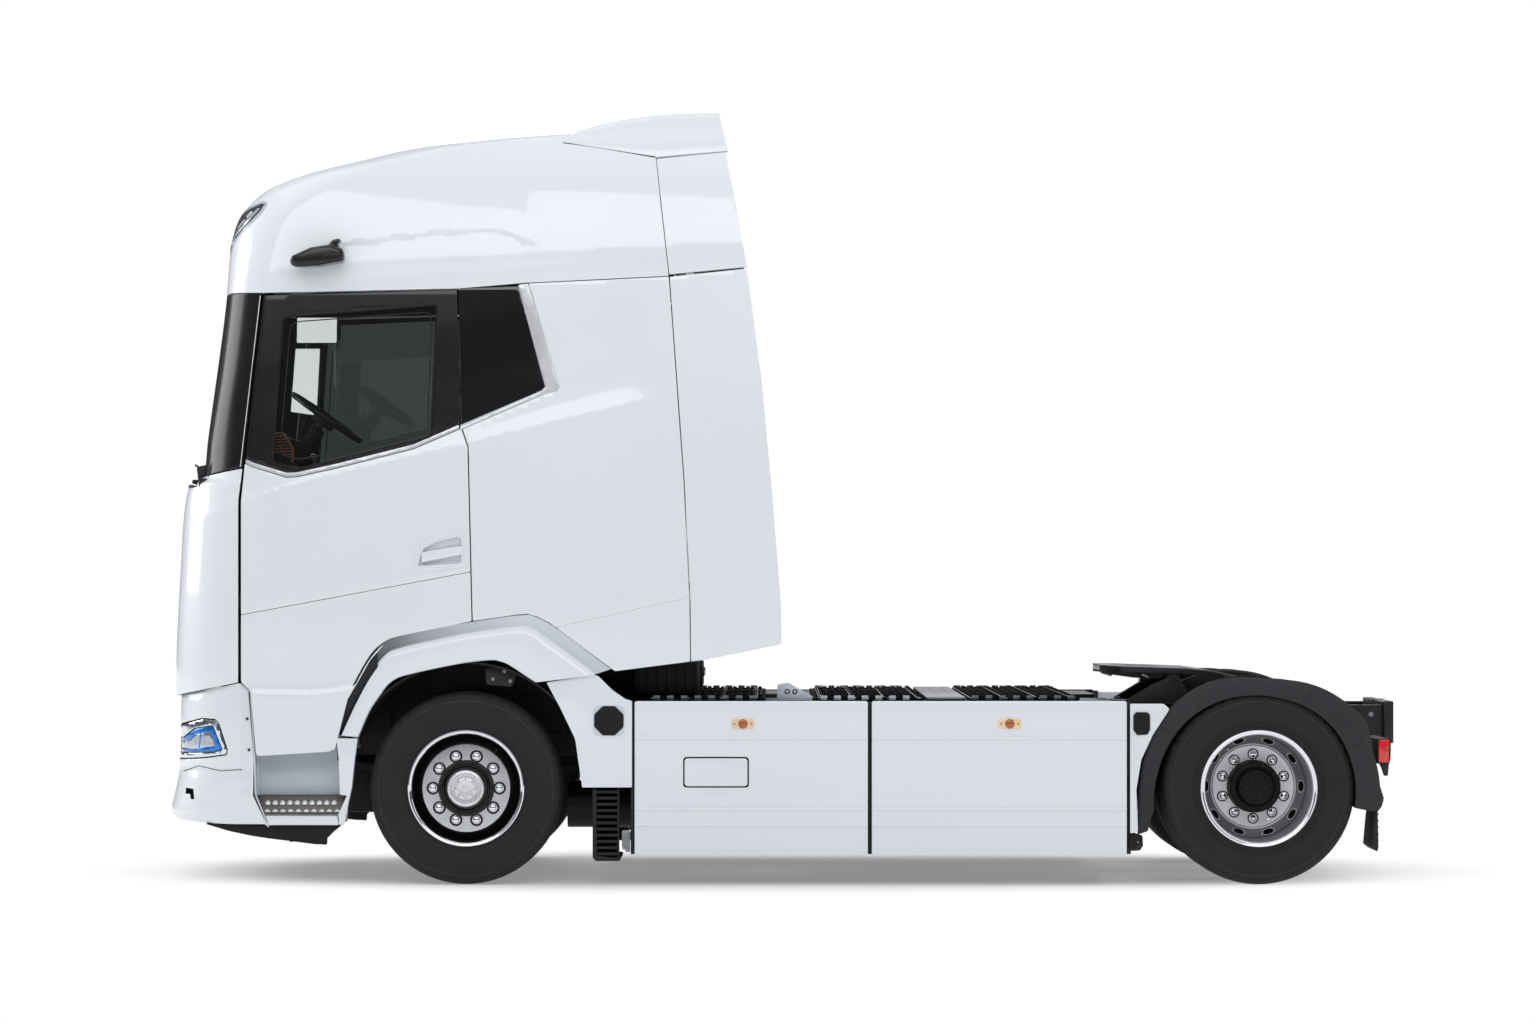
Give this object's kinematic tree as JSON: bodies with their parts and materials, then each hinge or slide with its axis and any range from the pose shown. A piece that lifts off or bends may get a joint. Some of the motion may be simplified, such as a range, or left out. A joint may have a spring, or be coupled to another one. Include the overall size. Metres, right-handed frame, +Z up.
{
  "type": "semi truck tractor unit",
  "caption": "Cab-over battery-electric road tractor with sleeper cab, steered front axle, twin-tyred driven rear axle and tilting fifth wheel.",
  "frame": {"origin": "on the ground, at the middle of the overall length and on the centre plane", "axes": "+X towards the rear of the truck, +Y towards its right-hand side, +Z up; the truck faces -X"},
  "size_m": [6.4848, 2.78, 3.99],
  "materials": {
    "cab_paint": "cool white gloss paint",
    "body_trim": "dark grey moulded plastic",
    "black_trim": "matt black plastic",
    "gloss_black": "gloss black",
    "glass": "tinted glass",
    "lamp": "clear lamp lens",
    "lamp_red": "red lamp lens",
    "chassis": "satin black chassis paint",
    "cast": "black cast iron",
    "tyre": "black rubber",
    "rubber": "black rubber",
    "alloy": "bright forged aluminium",
    "tread_alloy": "ribbed aluminium",
    "step_grey": "pale grey plastic",
    "interior": "dark grey interior plastic",
    "headliner": "pale grey cloth",
    "seat_cloth": "dark grey seat cloth",
    "mattress": "grey quilted cloth",
    "wheel_rim_leather": "black leather"
  },
  "bodies": {
    "chassis": {"frame_rails": "chassis", "crossmembers": "chassis", "front_axle": "cast", "front_springs": "cast", "rear_axle": "cast", "air_springs": "rubber", "drive_unit": "cast", "air_tanks": "chassis", "battery_boxes": "black_trim", "side_panels": "cab_paint", "end_panels": "cab_paint", "catwalk": "tread_alloy", "front_mudguards": "cab_paint", "wheel_housings": "black_trim", "rear_mudguards": "body_trim", "mudflaps": "rubber", "rear_lights": "lamp_red", "fifth_wheel_base": "cast", "bumper": "cab_paint", "headlamps": "lamp", "front_skirt": "black_trim", "steps": "step_grey", "step_wells": "step_grey", "cab_mounts": "chassis", "cab_floor": "interior", "cab_rear_wall": "cab_paint", "cab_front": "cab_paint", "corner_panels": "cab_paint", "a_pillars": "interior", "fixed_glass": "glass", "cab_sides": "cab_paint", "roof": "cab_paint", "arch_trims": "cab_paint", "side_deflectors": "cab_paint", "roof_deflector": "cab_paint", "camera_arms": "gloss_black", "dashboard": "interior", "seat_bases": "interior", "seat_cushions": "seat_cloth", "bunk": "mattress"},
    "left_door": {"left_door": "cab_paint", "left_door_glass": "glass"},
    "right_door": {"right_door": "cab_paint", "right_door_glass": "glass"},
    "front_panel": {"front_panel": "cab_paint"},
    "charge_flap": {"charge_flap": "cab_paint"},
    "fifth_wheel": {"fifth_wheel": "cast"},
    "steering_wheel": {"steering_wheel": "wheel_rim_leather"},
    "left_knuckle": {"left_knuckle": "cast"},
    "right_knuckle": {"right_knuckle": "cast"},
    "front_left_wheel": {"front_left_wheel": "alloy", "front_left_tyre": "tyre"},
    "front_right_wheel": {"front_right_wheel": "alloy", "front_right_tyre": "tyre"},
    "rear_left_wheels": {"rear_left_rims": "alloy", "rear_left_hub": "cast", "rear_left_tyres": "tyre"},
    "rear_right_wheels": {"rear_right_rims": "alloy", "rear_right_hub": "cast", "rear_right_tyres": "tyre"}
  },
  "joints": [
    {"name": "left_steer", "type": "hinge", "parent": "chassis", "child": "left_knuckle", "pos_m": [-1.654, -0.88, 0.498], "axis": [0, 0, 1], "range_deg": [-40, 40]},
    {"name": "right_steer", "type": "hinge", "parent": "chassis", "child": "right_knuckle", "pos_m": [-1.654, 0.88, 0.498], "axis": [0, 0, 1], "range_deg": [-40, 40]},
    {"name": "steering_wheel_turn", "type": "hinge", "parent": "chassis", "child": "steering_wheel", "pos_m": [-2.43, -0.6, 2.432], "axis": [0.5736, 0, 0.8192], "range_deg": [-800, 800]},
    {"name": "front_left_spin", "type": "hinge", "parent": "left_knuckle", "child": "front_left_wheel", "pos_m": [-1.654, -1.035, 0.498], "axis": [0, 1, 0], "continuous": true},
    {"name": "front_right_spin", "type": "hinge", "parent": "right_knuckle", "child": "front_right_wheel", "pos_m": [-1.654, 1.035, 0.498], "axis": [0, 1, 0], "continuous": true},
    {"name": "rear_left_spin", "type": "hinge", "parent": "chassis", "child": "rear_left_wheels", "pos_m": [2.436, -0.913, 0.498], "axis": [0, 1, 0], "continuous": true},
    {"name": "rear_right_spin", "type": "hinge", "parent": "chassis", "child": "rear_right_wheels", "pos_m": [2.436, 0.913, 0.498], "axis": [0, 1, 0], "continuous": true},
    {"name": "left_door_hinge", "type": "hinge", "parent": "chassis", "child": "left_door", "pos_m": [-2.806, -1.245, 1.9], "axis": [0, 0, -1], "range_deg": [0, 80]},
    {"name": "right_door_hinge", "type": "hinge", "parent": "chassis", "child": "right_door", "pos_m": [-2.806, 1.245, 1.9], "axis": [0, 0, 1], "range_deg": [0, 80]},
    {"name": "front_panel_lift", "type": "hinge", "parent": "chassis", "child": "front_panel", "pos_m": [-3.168, 0, 2.051], "axis": [0, 1, 0], "range_deg": [0, 80]},
    {"name": "charge_flap_hinge", "type": "hinge", "parent": "chassis", "child": "charge_flap", "pos_m": [-0.363, -1.237, 0.656], "axis": [-1, 0, 0], "range_deg": [0, 95]},
    {"name": "fifth_wheel_tilt", "type": "hinge", "parent": "chassis", "child": "fifth_wheel", "pos_m": [2.065, 0, 1.04], "axis": [0, 1, 0], "range_deg": [-16, 8]}
  ],
  "couplings": [
    {"joint": "right_steer", "follows": "left_steer", "ratio": 1},
    {"joint": "steering_wheel_turn", "follows": "left_steer", "ratio": 20}
  ]
}
